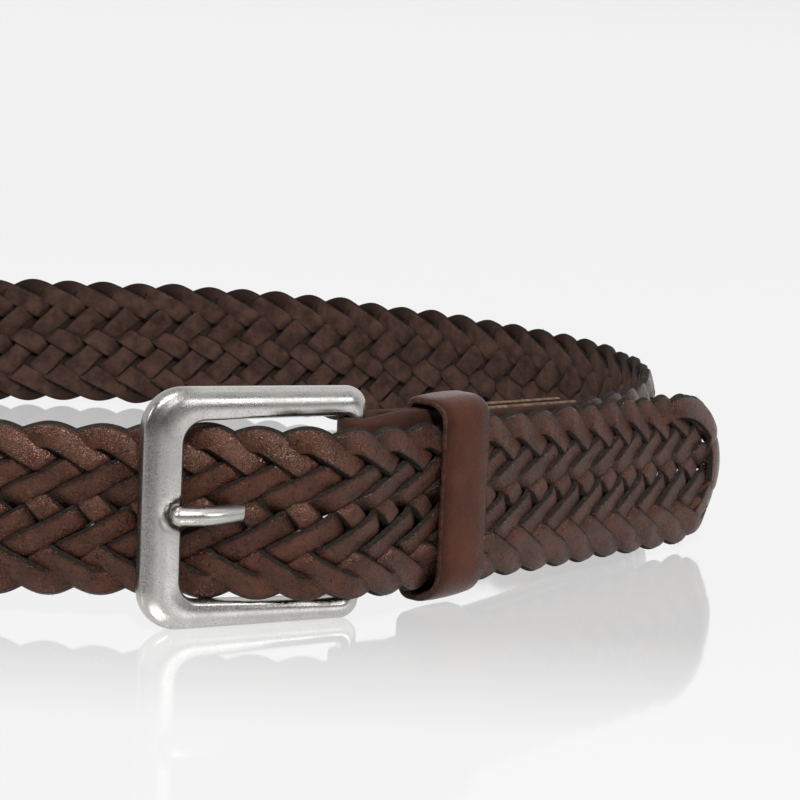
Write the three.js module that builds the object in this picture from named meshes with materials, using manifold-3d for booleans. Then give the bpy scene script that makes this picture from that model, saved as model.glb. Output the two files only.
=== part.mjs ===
// Plaited leather belt, buckled in a loop and standing on its edge.
// Millimetres, +Z up. The belt is laid out from the heel bar of its buckle, which stands at the
// layout's zero, and the finished group is moved so that its origin is on the ground under the
// middle of the belt.
import * as THREE from "three";
import { mergeVertices } from "three/addons/utils/BufferGeometryUtils.js";
import Module from "manifold-3d";

const wasm = await Module();
wasm.setup();

// Strap
const waist = 805; // middle line of the strap, once round from the heel bar to the heel bar
const tailLength = 122; // free end, past the heel bar
const strapWidth = 35;
const strapThickness = 4.2;
const pressedThickness = 2.4; // plait pressed flat between the leaves of the tab
const scallopPitch = 10.3; // from one strand's turn at the edge to the next
const scallopDepth = 1.5;
const edgeRounding = 1.6;
const tipRounding = 18;
const swellRun = 12; // from the tab's end to the plait's full thickness
const tailHeading = 50; // degrees between the free end and the front of the loop
const bendRadius = 23; // strap over the heel bar

// Buckle
const buckleLength = 47; // outer bar to heel bar, outside
const buckleHeight = 48.8; // at the outer bar
const heelHeight = 48;
const outerBarWidth = 6.6;
const outerBarThickness = 4.6;
const armHeight = 5.7; // at the outer bar
const armTipHeight = 4.6;
const armThickness = 4.2;
const heelBar = 3.8; // diameter
const outerCorner = 7.5;
const windowCorner = 4.5;
const heelCorner = 4;
const heelWindowCorner = 0.8;
const buckleYaw = 26; // degrees between the buckle and the front of the loop
const notchRadius = 2.9;
const notchReach = 3.5; // how far the notch bites into the outer bar

// Prong
const prongDiameter = 4;
const prongNeck = 3.5; // diameter where it leaves the eye
const eyeWall = 1.8;
const prongBow = 4.2; // how far it bends forward of the buckle's plane
const prongRest = 2.7; // its middle line at the tip, forward of the buckle's plane
const prongTable = [ // shares of the span from tip to heel bar, and of the bow
  { span: 0.7, bow: 0.1 },
  { span: 0.38, bow: 0.68 },
  { span: 0.18, bow: 1 },
];

// Tab and keeper
const leafThickness = 1.5;
const leafTip = 1.1; // pared thickness at the end of each leaf
const tabLength = 69; // from the heel bar
const tabWidth = 35.4;
const tabNeckWidth = 34.4; // at the heel bar, between the buckle's arms
const tabNeckRun = 9;
const sewnStart = 38; // where the plait begins between the leaves, from the heel bar
const prongSlotRun = 8; // slot in the tab for the prong's eye, past the heel bar
const foldTable = [ // back leaf past the fold: shares of the neck's run and of the fold's radius
  { along: 0.45, back: 0.72 },
];
const foldClosed = 1.2; // where the leaves meet, as a share of the neck's run
const keeperStart = 18.2; // from the heel bar
const keeperWidth = 13.4;
const keeperHeight = 42.4;
const keeperLift = 1.3; // of its lower edge from the ground
const keeperWall = 1.4;
const keeperFrontCorner = 5;
const keeperBackCorner = 3;

// Clearances
const gap = 0.35; // between pieces that touch on the real belt
const slack = 0.45; // either side of what runs through the keeper
const slotSlack = 0.9; // either side of the prong's eye in the tab

// The side and back of the loop: its run as a share of the waist, its turn to the left in degrees,
// and how high the strap's lower edge is at its end, as a share of its height if it were centred
// in the buckle.
const sideTable = [
  { run: 0.093, turn: 45, lift: 0.3 },
  { run: 0.064, turn: 30, lift: 0.24 },
  { run: 0.098, turn: 25, lift: 0.18 },
  { run: 0.087, turn: 30, lift: 0.12 },
];
const sewnLift = { start: 0.66, end: 0.42 };
const leftTable = [
  { turn: 45, lift: 0 },
  { turn: 45, lift: 0 },
];
const frontTable = [
  { turn: 45, lift: 0.1 },
  { turn: 45, lift: 0.72 },
];
const buckledLift = 0.84;
const bendLift = 0.74;
const tailTable = [
  { run: 0.42, lift: 0.48 },
  { run: 0.58, lift: 0.14 },
];

// One scallop of the strap's edge: shares of the pitch and of the scallop's depth
const scallopTable = [
  { at: 0, dip: 1 },
  { at: 0.24, dip: 0 },
  { at: 0.56, dip: 0 },
  { at: 0.82, dip: 0.4 },
];
const lowerEdgeShift = 0.15; // share of the pitch that the lower scallops lie ahead of the upper

const radians = THREE.MathUtils.degToRad;
const up = new THREE.Vector3(0, 0, 1);
const direction = (angle) => new THREE.Vector3(Math.cos(angle), Math.sin(angle), 0);
const leftOf = (angle) => new THREE.Vector3(-Math.sin(angle), Math.cos(angle), 0);

// Places: along the tab, with `back` towards the inside of the loop
const tabAngle = radians(tailHeading);
const onTab = (along, back) =>
  direction(tabAngle).multiplyScalar(along).addScaledVector(leftOf(tabAngle), back);

// Places: in the buckle, `across` from the outside of the outer bar, `front` towards the wearer's front
const yaw = radians(buckleYaw);
const heelAcross = buckleLength - heelBar / 2;
const inBuckle = (across, height, front) =>
  direction(yaw)
    .multiplyScalar(across - heelAcross)
    .addScaledVector(leftOf(yaw), -front)
    .setZ(height);

const buckleMiddle = buckleHeight / 2;
const buckleLift = buckleMiddle - strapWidth / 2;
const heelMiddle = heelHeight / 2;
const prongMiddle = buckledLift * buckleLift + strapWidth / 2;

// Offsets of the layers over the heel bar, towards the inside of the loop
const leafAtBar = heelBar / 2 + gap + leafThickness / 2;
const tailBack = -(leafAtBar + leafThickness / 2 + gap + strapThickness / 2);
const sewnBack = -leafAtBar + leafThickness / 2 + gap + pressedThickness / 2;
const backLeafClosed = -leafAtBar + leafThickness + gap;
const backLeafOpen = sewnBack + pressedThickness / 2 + gap + leafThickness / 2;

// A closed solid through rings of points. Rings run anticlockwise as seen from ahead.
function loft(rings, closed = false) {
  const count = rings[0].length;
  const positions = rings.flatMap((ring) => ring.flatMap((point) => point.toArray()));
  const index = [];
  const last = closed ? rings.length : rings.length - 1;
  for (let r = 0; r < last; r++) {
    const here = r * count;
    const next = ((r + 1) % rings.length) * count;
    for (let k = 0; k < count; k++) {
      const l = (k + 1) % count;
      index.push(here + k, here + l, next + k);
      index.push(here + l, next + l, next + k);
    }
  }
  if (!closed) {
    const end = (rings.length - 1) * count;
    for (let k = 1; k < count - 1; k++) {
      index.push(0, k + 1, k);
      index.push(end, end + k, end + k + 1);
    }
  }
  const geometry = new THREE.BufferGeometry();
  geometry.setAttribute("position", new THREE.Float32BufferAttribute(positions, 3));
  geometry.setIndex(index);
  return geometry;
}

function toSolid(geometry) {
  const bare = geometry.clone();
  bare.deleteAttribute("normal");
  bare.deleteAttribute("uv");
  const merged = mergeVertices(bare);
  const vertProperties = new Float32Array(merged.attributes.position.array);
  const triVerts = new Uint32Array(merged.index.array);
  return new wasm.Manifold(new wasm.Mesh({ numProp: 3, vertProperties, triVerts }));
}

function toGeometry(solid) {
  const { vertProperties, triVerts } = solid.getMesh();
  const geometry = new THREE.BufferGeometry();
  geometry.setAttribute("position", new THREE.BufferAttribute(vertProperties, 3));
  geometry.setIndex(new THREE.BufferAttribute(triVerts, 1));
  return geometry;
}

const cut = (geometry, ...tools) =>
  toGeometry(tools.reduce((solid, tool) => solid.subtract(toSolid(tool)), toSolid(geometry)));

// Points of a section [left, height] set square to a level heading
const ringAt = (middle, heading, section) =>
  section.map(([left, height]) =>
    middle.clone().addScaledVector(leftOf(heading), left).addScaledVector(up, height),
  );

const circle = (radius, sides) =>
  Array.from({ length: sides }, (_, k) => {
    const angle = (2 * Math.PI * (k + 0.5)) / sides;
    return [radius * Math.cos(angle), radius * Math.sin(angle)];
  });

// A level path of straight stretches and arcs, each with a run, a turn and a lift at its end
class Route {
  constructor(start, heading, lift) {
    this.stretches = [];
    this.end = { point: start, heading, lift };
    this.length = 0;
  }

  add(run, turn, lift) {
    const stretch = { from: this.end, start: this.length, run, turn, lift };
    this.stretches.push(stretch);
    this.length += run;
    this.end = Route.along(stretch, run);
    return this;
  }

  static along({ from, run, turn, lift }, distance) {
    const swept = (turn * distance) / run;
    const chord = turn === 0 ? distance : (2 * run * Math.sin(swept / 2)) / turn;
    const point = from.point.clone().addScaledVector(direction(from.heading + swept / 2), chord);
    const share = distance / run;
    return {
      point,
      heading: from.heading + swept,
      lift: from.lift + (lift - from.lift) * share,
    };
  }

  at(distance) {
    const stretch = this.stretches.findLast((each) => each.start <= distance) ?? this.stretches[0];
    return Route.along(stretch, distance - stretch.start);
  }
}

// The strap's middle line from its sewn end, round the loop, through the buckle, to its tip.
// The run of the front and the two radii on the left are what closes a loop of the waist's length.
function strapRoute() {
  const route = new Route(onTab(sewnStart, sewnBack), tabAngle, sewnLift.start * buckleLift);
  route.add(tabLength - sewnStart, 0, sewnLift.end * buckleLift);
  for (const { run, turn, lift } of sideTable) {
    route.add(run * waist, radians(turn), lift * buckleLift);
  }

  const outerBarReach =
    (outerBarWidth / 2) * Math.sin(yaw) + (outerBarThickness / 2) * Math.cos(yaw);
  const outerBar = inBuckle(outerBarWidth / 2, 0, 0);
  const frontY = outerBar.y + outerBarReach + gap + strapThickness / 2;
  const tailFoot = onTab(0, tailBack);
  const cornerToFoot = (tailFoot.y - frontY) / Math.sin(tabAngle);
  const cornerX = tailFoot.x - cornerToFoot * Math.cos(tabAngle);
  const bendTangent = bendRadius * Math.tan(tabAngle / 2);
  const bendRun = bendRadius * tabAngle;
  const bendToFoot = cornerToFoot - bendTangent;

  const depth = route.end.point.y - frontY;
  const quarters = (Math.PI / 2) * depth;
  const frontRun = waist - sewnStart - route.length - quarters - bendRun - bendToFoot;
  const shift = cornerX - bendTangent - frontRun - route.end.point.x;
  const leftRadius = (depth - shift) / 2;
  const frontRadius = (depth + shift) / 2;
  for (const { turn, lift } of leftTable) {
    route.add(leftRadius * radians(turn), radians(turn), lift * buckleLift);
  }
  for (const { turn, lift } of frontTable) {
    route.add(frontRadius * radians(turn), radians(turn), lift * buckleLift);
  }
  route.add(frontRun, 0, buckledLift * buckleLift);
  route.add(bendRun, tabAngle, bendLift * buckleLift);
  const tailRun = bendToFoot + tailLength;
  for (const { run, lift } of tailTable) {
    route.add(run * tailRun, 0, lift * buckleLift);
  }
  return route;
}

// How far the scalloped edge dips at a place along the strap
function scallopDip(place, pitch) {
  const share = THREE.MathUtils.euclideanModulo(place / pitch, 1);
  const rows = [...scallopTable, { at: 1, dip: scallopTable[0].dip }];
  const next = rows.findIndex((row) => row.at > share);
  const [a, b] = [rows[next - 1], rows[next]];
  return scallopDepth * THREE.MathUtils.mapLinear(share, a.at, b.at, a.dip, b.dip);
}

function strapStations(length, pitch) {
  const stations = [];
  for (let k = 0; k < Math.round(length / pitch); k++) {
    for (const { at } of scallopTable) {
      stations.push((k + at) * pitch);
    }
  }
  return stations;
}

function braidedStrap(route) {
  const pitch = route.length / Math.round(route.length / scallopPitch);
  const swellEnd = tabLength - sewnStart + swellRun;
  const rings = strapStations(route.length, pitch).map((place) => {
    const { point, heading, lift } = route.at(place);
    const swell = THREE.MathUtils.smoothstep(place, swellEnd - swellRun, swellEnd);
    const half = THREE.MathUtils.lerp(pressedThickness, strapThickness, swell) / 2;
    const intoTip = Math.max(0, 1 - (route.length - place) / tipRounding);
    const narrowing = Math.sqrt(1 - intoTip ** 2);
    const reach = strapWidth / 2;
    const top = reach * narrowing - scallopDip(place, pitch);
    const bottom = reach * narrowing - scallopDip(place + lowerEdgeShift * pitch, pitch);
    const middle = point.clone().setZ(lift + reach);
    return ringAt(middle, heading, [
      [half, edgeRounding - bottom],
      [half, top - edgeRounding],
      [half / 2, top],
      [-half / 2, top],
      [-half, top - edgeRounding],
      [-half, edgeRounding - bottom],
      [-half / 2, -bottom],
      [half / 2, -bottom],
    ]);
  });
  return cut(loft(rings), prongShaft(gap));
}

// Buckle frame: outer and inner outline of each corner, as arcs about their own middles
function buckleFrame() {
  const arcSteps = 4;
  const sides = 12;
  const windowTop = buckleHeight - armHeight;
  const corners = [
    {
      from: 180,
      outer: [outerCorner, outerCorner, outerCorner],
      inner: [outerBarWidth + windowCorner, armHeight + windowCorner, windowCorner],
      thick: [outerBarThickness, armThickness],
    },
    {
      from: 270,
      outer: [buckleLength - heelCorner, heelCorner, heelCorner],
      inner: [
        buckleLength - heelBar - heelWindowCorner,
        armTipHeight + heelWindowCorner,
        heelWindowCorner,
      ],
      thick: [armThickness, heelBar],
    },
    {
      from: 0,
      outer: [buckleLength - heelCorner, heelHeight - heelCorner, heelCorner],
      inner: [
        buckleLength - heelBar - heelWindowCorner,
        heelHeight - armTipHeight - heelWindowCorner,
        heelWindowCorner,
      ],
      thick: [heelBar, armThickness],
    },
    {
      from: 90,
      outer: [outerCorner, buckleHeight - outerCorner, outerCorner],
      inner: [outerBarWidth + windowCorner, windowTop - windowCorner, windowCorner],
      thick: [armThickness, outerBarThickness],
    },
  ];
  const onArc = ([across, height, radius], angle) => [
    across + radius * Math.cos(angle),
    height + radius * Math.sin(angle),
  ];
  const rings = corners.flatMap(({ from, outer, inner, thick }) =>
    Array.from({ length: arcSteps + 1 }, (_, k) => {
      const angle = radians(from + (90 * k) / arcSteps);
      const half = THREE.MathUtils.lerp(thick[0], thick[1], k / arcSteps) / 2;
      const [outerAcross, outerHeight] = onArc(outer, angle);
      const [innerAcross, innerHeight] = onArc(inner, angle);
      return circle(1, sides).map(([inward, front]) => {
        const share = (1 + inward / Math.cos(Math.PI / sides)) / 2;
        return inBuckle(
          THREE.MathUtils.lerp(outerAcross, innerAcross, share),
          THREE.MathUtils.lerp(outerHeight, innerHeight, share),
          (half * front) / Math.cos(Math.PI / sides),
        );
      });
    }),
  );
  return cut(loft(rings, true), prongNotch());
}

// Round seat for the prong's tip, sunk into the front of the outer bar
function prongNotch() {
  const seat = prongRest - prongDiameter / 2 - gap;
  const notch = new THREE.CylinderGeometry(notchRadius, notchRadius, outerBarThickness, 20);
  const across = outerBarWidth - notchReach + notchRadius;
  const middle = inBuckle(across, prongMiddle, seat + outerBarThickness / 2);
  return notch.applyMatrix4(
    new THREE.Matrix4()
      .makeRotationZ(yaw)
      .setPosition(middle),
  );
}

// The prong's rod, bowed forward from its eye through the strap to its rest on the outer bar
function prongShaft(margin) {
  const tipAcross = outerBarWidth - notchReach + gap;
  const span = heelAcross - tipAcross;
  const eyeEdge = heelBar / 2 + gap + eyeWall / 2;
  const middles = new THREE.CatmullRomCurve3([
    inBuckle(heelAcross - eyeEdge, prongMiddle, 0),
    ...prongTable.map((row) =>
      inBuckle(tipAcross + row.span * span, prongMiddle, row.bow * prongBow),
    ),
    inBuckle(tipAcross, prongMiddle, prongRest),
  ]);
  const length = middles.getLength();
  const steps = 16;
  const tipSteps = [0.35, 0.75, 0.97]; // shares of the rounded tip's length
  const tipStart = 1 - prongDiameter / 2 / length;
  const places = [
    ...Array.from({ length: steps }, (_, k) => (tipStart * k) / (steps - 1)),
    ...tipSteps.map((share) => tipStart + share * (1 - tipStart)),
  ];
  const rings = places.map((place) => {
    const point = middles.getPointAt(place);
    const tangent = middles.getTangentAt(place);
    const heading = Math.atan2(tangent.y, tangent.x);
    const intoTip = Math.max(0, (place - tipStart) / (1 - tipStart));
    const radius = THREE.MathUtils.lerp(prongNeck, prongDiameter, place / tipStart) / 2;
    const rounded = radius * Math.sqrt(1 - intoTip ** 2);
    return ringAt(point, heading, circle(rounded + margin, 10));
  });
  return loft(rings);
}

function prong() {
  const bore = heelBar / 2 + gap;
  const height = prongNeck / 2;
  const eye = new THREE.LatheGeometry(
    [
      [bore, -height],
      [bore + eyeWall, -height],
      [bore + eyeWall, height],
      [bore, height],
      [bore, -height],
    ].map(([radius, z]) => new THREE.Vector2(radius, z)),
    24,
  );
  eye.rotateX(Math.PI / 2).translate(0, 0, prongMiddle);
  return toGeometry(toSolid(prongShaft(0)).add(toSolid(eye)));
}

// Width of the tab, and the height of its middle, at a place from the heel bar
function tabSection(along, route) {
  const neck = THREE.MathUtils.smoothstep(along, 0, tabNeckRun);
  const width = THREE.MathUtils.lerp(tabNeckWidth, tabWidth, neck);
  const strapMiddle = route.at(Math.max(0, along - sewnStart)).lift + strapWidth / 2;
  const sewn = THREE.MathUtils.smoothstep(along, tabNeckRun, sewnStart);
  return { width, middle: THREE.MathUtils.lerp(heelMiddle, strapMiddle, sewn) };
}

// Leather folded round the heel bar: front leaf, fold, back leaf with the plait's end in between
function buckleTab(route) {
  const foldSteps = 10;
  const fold = Array.from({ length: foldSteps + 1 }, (_, k) => {
    const angle = -Math.PI / 2 - (Math.PI * k) / foldSteps;
    return {
      along: leafAtBar * Math.cos(angle),
      back: leafAtBar * Math.sin(angle),
      thickness: leafThickness,
    };
  });
  const leaf = [
    { along: tabLength, back: -leafAtBar, thickness: leafTip },
    { along: sewnStart, back: -leafAtBar, thickness: leafThickness },
    { along: tabNeckRun, back: -leafAtBar, thickness: leafThickness },
    ...fold,
    ...foldTable.map((row) => ({
      along: row.along * tabNeckRun,
      back: row.back * leafAtBar,
      thickness: leafThickness,
    })),
    { along: foldClosed * tabNeckRun, back: backLeafClosed, thickness: leafThickness },
    { along: keeperStart + keeperWidth, back: backLeafClosed, thickness: leafThickness },
    { along: sewnStart - gap, back: backLeafOpen, thickness: leafThickness },
    { along: tabLength, back: backLeafOpen, thickness: leafTip },
  ];
  const rings = leaf.map(({ along, back, thickness }, k) => {
    const before = leaf[Math.max(0, k - 1)];
    const after = leaf[Math.min(leaf.length - 1, k + 1)];
    const heading = tabAngle + Math.atan2(after.back - before.back, after.along - before.along);
    const { width, middle } = tabSection(along, route);
    const half = thickness / 2;
    return ringAt(onTab(along, back).setZ(middle), heading, [
      [half, -width / 2],
      [half, width / 2],
      [-half, width / 2],
      [-half, -width / 2],
    ]);
  });
  const reach = 2 * leafAtBar + 2 * leafThickness;
  const slotWidth = prongNeck + 2 * slotSlack;
  const slot = new THREE.BoxGeometry(prongSlotRun + reach, reach, slotWidth);
  slot.applyMatrix4(
    new THREE.Matrix4()
      .makeRotationZ(tabAngle)
      .setPosition(onTab((prongSlotRun - reach) / 2, 0).setZ(prongMiddle)),
  );
  return cut(loft(rings), slot);
}

// The keeper's outline at a distance inside its outer face
function keeperOutline(path, inside) {
  const frontRadius = keeperFrontCorner - inside;
  const backRadius = keeperBackCorner - inside;
  const front = tailBack - strapThickness / 2 - slack - keeperWall + inside;
  const back = backLeafClosed + leafThickness / 2 + slack + keeperWall - inside;
  const bottom = keeperLift + inside;
  const top = keeperLift + keeperHeight - inside;
  path.moveTo(front + frontRadius, bottom);
  path.lineTo(back - backRadius, bottom);
  path.absarc(back - backRadius, bottom + backRadius, backRadius, -Math.PI / 2, 0);
  path.lineTo(back, top - backRadius);
  path.absarc(back - backRadius, top - backRadius, backRadius, 0, Math.PI / 2);
  path.lineTo(front + frontRadius, top);
  path.absarc(front + frontRadius, top - frontRadius, frontRadius, Math.PI / 2, Math.PI);
  path.lineTo(front, bottom + frontRadius);
  path.absarc(front + frontRadius, bottom + frontRadius, frontRadius, Math.PI, 1.5 * Math.PI);
  return path;
}

// Leather band round the tail and the tab
function keeperLoop() {
  const outline = keeperOutline(new THREE.Shape(), 0);
  outline.holes.push(keeperOutline(new THREE.Path(), keeperWall));
  const band = new THREE.ExtrudeGeometry(outline, {
    depth: keeperWidth,
    bevelEnabled: false,
    curveSegments: 6,
  });
  const place = new THREE.Matrix4().makeBasis(leftOf(tabAngle), up, direction(tabAngle));
  return band.applyMatrix4(place.setPosition(onTab(keeperStart, 0)));
}

function piece(name, geometry, look) {
  geometry.computeVertexNormals();
  const mesh = new THREE.Mesh(geometry, new THREE.MeshStandardMaterial(look));
  mesh.name = name;
  return mesh;
}

const plaitedLeather = { color: 0x4d2c23, roughness: 0.5, metalness: 0 };
const smoothLeather = { color: 0x43251c, roughness: 0.42, metalness: 0 };
const metal = { color: 0xa9a49c, roughness: 0.3, metalness: 1 };

const route = strapRoute();
const belt = new THREE.Group();
belt.add(
  piece("braided_strap", braidedStrap(route), plaitedLeather),
  piece("buckle_frame", buckleFrame(), metal),
  piece("prong", prong(), metal),
  piece("buckle_tab", buckleTab(route), smoothLeather),
  piece("keeper_loop", keeperLoop(), smoothLeather),
);

const box = new THREE.Box3().setFromObject(belt);
const middle = box.getCenter(new THREE.Vector3());
belt.position.set(-middle.x, -middle.y, -box.min.z);

export default belt;
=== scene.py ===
"""Looks of a plaited leather belt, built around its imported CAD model.

Lengths are in millimetres until a mesh is made. The strap is laid out flat first: `s` runs along it
from its sewn end to its tip, `w` goes up across its width from its middle line, and `h` is towards
its grain side, which is the outside of the loop.
"""

import math

import bmesh
import bpy
import numpy as np
from mathutils import Matrix, Vector


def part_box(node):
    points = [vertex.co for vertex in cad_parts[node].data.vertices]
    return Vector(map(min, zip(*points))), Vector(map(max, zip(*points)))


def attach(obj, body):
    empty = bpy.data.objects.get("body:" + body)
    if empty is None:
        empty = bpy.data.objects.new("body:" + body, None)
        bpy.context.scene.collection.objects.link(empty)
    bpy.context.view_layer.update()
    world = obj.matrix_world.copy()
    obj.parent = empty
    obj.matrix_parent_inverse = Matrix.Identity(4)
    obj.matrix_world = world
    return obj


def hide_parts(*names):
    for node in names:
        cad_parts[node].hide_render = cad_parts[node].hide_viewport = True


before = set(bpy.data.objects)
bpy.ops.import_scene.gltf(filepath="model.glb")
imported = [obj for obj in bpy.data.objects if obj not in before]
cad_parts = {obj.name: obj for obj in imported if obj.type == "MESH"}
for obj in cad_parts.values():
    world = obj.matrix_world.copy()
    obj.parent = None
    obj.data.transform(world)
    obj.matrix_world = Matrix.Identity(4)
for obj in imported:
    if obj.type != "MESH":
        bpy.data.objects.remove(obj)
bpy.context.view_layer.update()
MM = 0.001

# Strap
WAIST = 805.0
TAIL_LENGTH = 122.0
STRAP_WIDTH = 35.0
STRAP_THICKNESS = 4.2
PRESSED_THICKNESS = 2.4
SWELL_RUN = 12.0
TIP_LENGTH = 18.0
TAIL_HEADING = math.radians(50)
BEND_RADIUS = 23.0

# Buckle and prong
BUCKLE_LENGTH = 47.0
BUCKLE_HEIGHT = 48.8
HEEL_HEIGHT = 48.0
BAR_WIDTH = 6.6
BAR_THICKNESS = 4.6
ARM_HEIGHT = 5.7
ARM_TIP_HEIGHT = 4.6
ARM_THICKNESS = 4.2
HEEL_BAR = 3.8
WINDOW_CORNER = 4.5
HEEL_CORNER = 4.0
HEEL_WINDOW_CORNER = 0.8
YAW = math.radians(26)
NOTCH_RADIUS = 2.5
PRONG_TIP = 5.2
PRONG_DIAMETER = 4.0
PRONG_NECK = 3.5
EYE_WALL = 1.8
PRONG_BOW = 4.2
PRONG_REST = 2.7
PRONG_TABLE = [(0.7, 0.1), (0.38, 0.68), (0.18, 1.0)]  # share of its span, share of its bow

# Tab and keeper
LEAF = 1.5
LEAF_TIP = 1.1
TAB_LENGTH = 69.0
TAB_WIDTH = 35.4
TAB_NECK_WIDTH = 34.4
TAB_NECK_RUN = 9.0
SEWN_START = 38.0
KEEPER_START = 18.2
KEEPER_WIDTH = 13.4
KEEPER_HEIGHT = 42.4
KEEPER_LIFT = 1.3
KEEPER_WALL = 1.4
KEEPER_FRONT_CORNER = 5.0
KEEPER_BACK_CORNER = 3.0
GAP = 0.35
SLACK = 0.45

# Where the frame and the keeper depart from their solids
FACE_WIDTH = 7.9
FRAME_TOP = 48.1
TOP_ARM_HEIGHT = 6.5
TOP_ARM_TIP_HEIGHT = 5.7
OUTER_CORNER = 8.2
KEEPER_DRESSED_START = 16.7
KEEPER_DRESSED_WIDTH = 14.2
KEEPER_LOW_CORNER = 7.0

# The loop's route. A lift is the height of the strap's lower edge at the end of a stretch, as a
# share of its height if the strap were centred in the buckle.
SEWN_LIFT = (0.66, 0.42)
# Run as a share of the waist, turn in degrees, lift
SIDE_TABLE = [(0.093, 45, 0.3), (0.064, 30, 0.24), (0.098, 25, 0.18), (0.087, 30, 0.12)]
# Turn in degrees, lift
LEFT_TABLE = [(45, 0.0), (45, 0.0)]
FRONT_TABLE = [(45, 0.1), (45, 0.72)]
BUCKLED_LIFT = 0.84
BEND_LIFT = 0.74
# Share of the tail, lift
TAIL_TABLE = [(0.42, 0.48), (0.58, 0.14)]

buckle_lift = BUCKLE_HEIGHT / 2 - STRAP_WIDTH / 2
prong_middle = BUCKLED_LIFT * buckle_lift + STRAP_WIDTH / 2
heel_across = BUCKLE_LENGTH - HEEL_BAR / 2
leaf_at_bar = HEEL_BAR / 2 + GAP + LEAF / 2
tail_back = -(leaf_at_bar + LEAF / 2 + GAP + STRAP_THICKNESS / 2)
sewn_back = -leaf_at_bar + LEAF / 2 + GAP + PRESSED_THICKNESS / 2
back_leaf_closed = -leaf_at_bar + LEAF + GAP
back_leaf_open = sewn_back + PRESSED_THICKNESS / 2 + GAP + LEAF / 2


def direction(angle):
    return np.array([math.cos(angle), math.sin(angle)])


def left_of(angle):
    return np.array([-math.sin(angle), math.cos(angle)])


# The heel bar's place in the frame, from the keeper's box
keeper_front = tail_back - STRAP_THICKNESS / 2 - SLACK - KEEPER_WALL
keeper_back = back_leaf_closed + LEAF / 2 + SLACK + KEEPER_WALL
keeper_low = np.array(
    [
        (KEEPER_START * direction(TAIL_HEADING) + keeper_back * left_of(TAIL_HEADING))[0],
        (KEEPER_START * direction(TAIL_HEADING) + keeper_front * left_of(TAIL_HEADING))[1],
    ]
)
HEEL = np.array(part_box("keeper_loop")[0][:2]) / MM - keeper_low


def on_tab(along, back):
    """Level places beside the tab: `along` it from the heel bar, and `back` of its middle."""
    along, back = np.broadcast_arrays(along, back)
    return (
        HEEL
        + along[..., None] * direction(TAIL_HEADING)
        + back[..., None] * left_of(TAIL_HEADING)
    )


def in_buckle(across, height, front):
    """Points of the buckle: `across` from its outer bar's outside, `front` forward of its plane."""
    across, height, front = np.broadcast_arrays(across, height, front)
    flat = (
        HEEL
        + (across - heel_across)[..., None] * direction(YAW)
        - front[..., None] * left_of(YAW)
    )
    return np.concatenate([flat, height[..., None]], axis=-1)


class Route:
    """A level path of straight stretches and arcs."""

    def __init__(self, start, heading, lift):
        self.rows = []
        self.length = 0.0
        self.end = (np.array(start, float), heading, lift)

    def add(self, run, turn, lift):
        point, heading, low = self.end
        self.rows.append((self.length, run, turn, *point, heading, low, lift))
        self.length += run
        chord = run if turn == 0 else 2 * run * math.sin(turn / 2) / turn
        self.end = (point + chord * direction(heading + turn / 2), heading + turn, lift)

    def at(self, s):
        """Points, headings and lifts at distances s. Past either end the path runs straight on."""
        table = np.array(self.rows)
        k = np.clip(np.searchsorted(table[:, 0], s, side="right") - 1, 0, len(table) - 1)
        start, run, turn, x, y, heading, low, high = np.moveaxis(table[k], -1, 0)
        d = s - start
        swept = turn * np.clip(d / run, 0, 1)
        inside = np.clip(d, 0, run)
        safe = np.where(np.abs(swept) < 1e-9, 1.0, swept)
        chord = np.where(np.abs(swept) < 1e-9, inside, 2 * inside * np.sin(swept / 2) / safe)
        beyond = d - inside
        mid = heading + swept / 2
        end = heading + swept
        px = x + chord * np.cos(mid) + beyond * np.cos(end)
        py = y + chord * np.sin(mid) + beyond * np.sin(end)
        return px, py, end, low + (high - low) * np.clip(d / run, 0, 1)


def strap_route():
    route = Route(on_tab(SEWN_START, sewn_back), TAIL_HEADING, SEWN_LIFT[0] * buckle_lift)
    route.add(TAB_LENGTH - SEWN_START, 0.0, SEWN_LIFT[1] * buckle_lift)
    for run, turn, lift in SIDE_TABLE:
        route.add(run * WAIST, math.radians(turn), lift * buckle_lift)
    bar_reach = BAR_WIDTH / 2 * math.sin(YAW) + BAR_THICKNESS / 2 * math.cos(YAW)
    bar_y = in_buckle(BAR_WIDTH / 2, 0, 0)[1]
    front_y = bar_y + bar_reach + GAP + STRAP_THICKNESS / 2
    foot = on_tab(0, tail_back)
    corner_to_foot = (foot[1] - front_y) / math.sin(TAIL_HEADING)
    corner_x = foot[0] - corner_to_foot * math.cos(TAIL_HEADING)
    tangent = BEND_RADIUS * math.tan(TAIL_HEADING / 2)
    bend_run = BEND_RADIUS * TAIL_HEADING
    bend_to_foot = corner_to_foot - tangent
    depth = route.end[0][1] - front_y
    front_run = WAIST - SEWN_START - route.length - math.pi / 2 * depth - bend_run - bend_to_foot
    shift = corner_x - tangent - front_run - route.end[0][0]
    left_radius = (depth - shift) / 2
    front_radius = (depth + shift) / 2
    for radius, table in ((left_radius, LEFT_TABLE), (front_radius, FRONT_TABLE)):
        for turn, lift in table:
            route.add(radius * math.radians(turn), math.radians(turn), lift * buckle_lift)
    route.add(front_run, 0.0, BUCKLED_LIFT * buckle_lift)
    route.add(bend_run, TAIL_HEADING, BEND_LIFT * buckle_lift)
    tail_run = bend_to_foot + TAIL_LENGTH
    for run, lift in TAIL_TABLE:
        route.add(run * tail_run, 0.0, lift * buckle_lift)
    return route


route = strap_route()
tail_foot = route.length - TAIL_LENGTH
tip_start = route.length - TIP_LENGTH
tip_end = route.length

# Where the plait's pitches lie along the strap: it is looser in its middle and tighter near its tip
PITCH_TABLE = [(0, 0.0), (72, 741.4), (75, 770.6), (78, 802.2), (80, 820.4), (83, 845.6)]
PITCH_TABLE += [(85, 861.0), (90, 901.0)]
PITCHES, LAID = np.array(PITCH_TABLE).T


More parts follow.
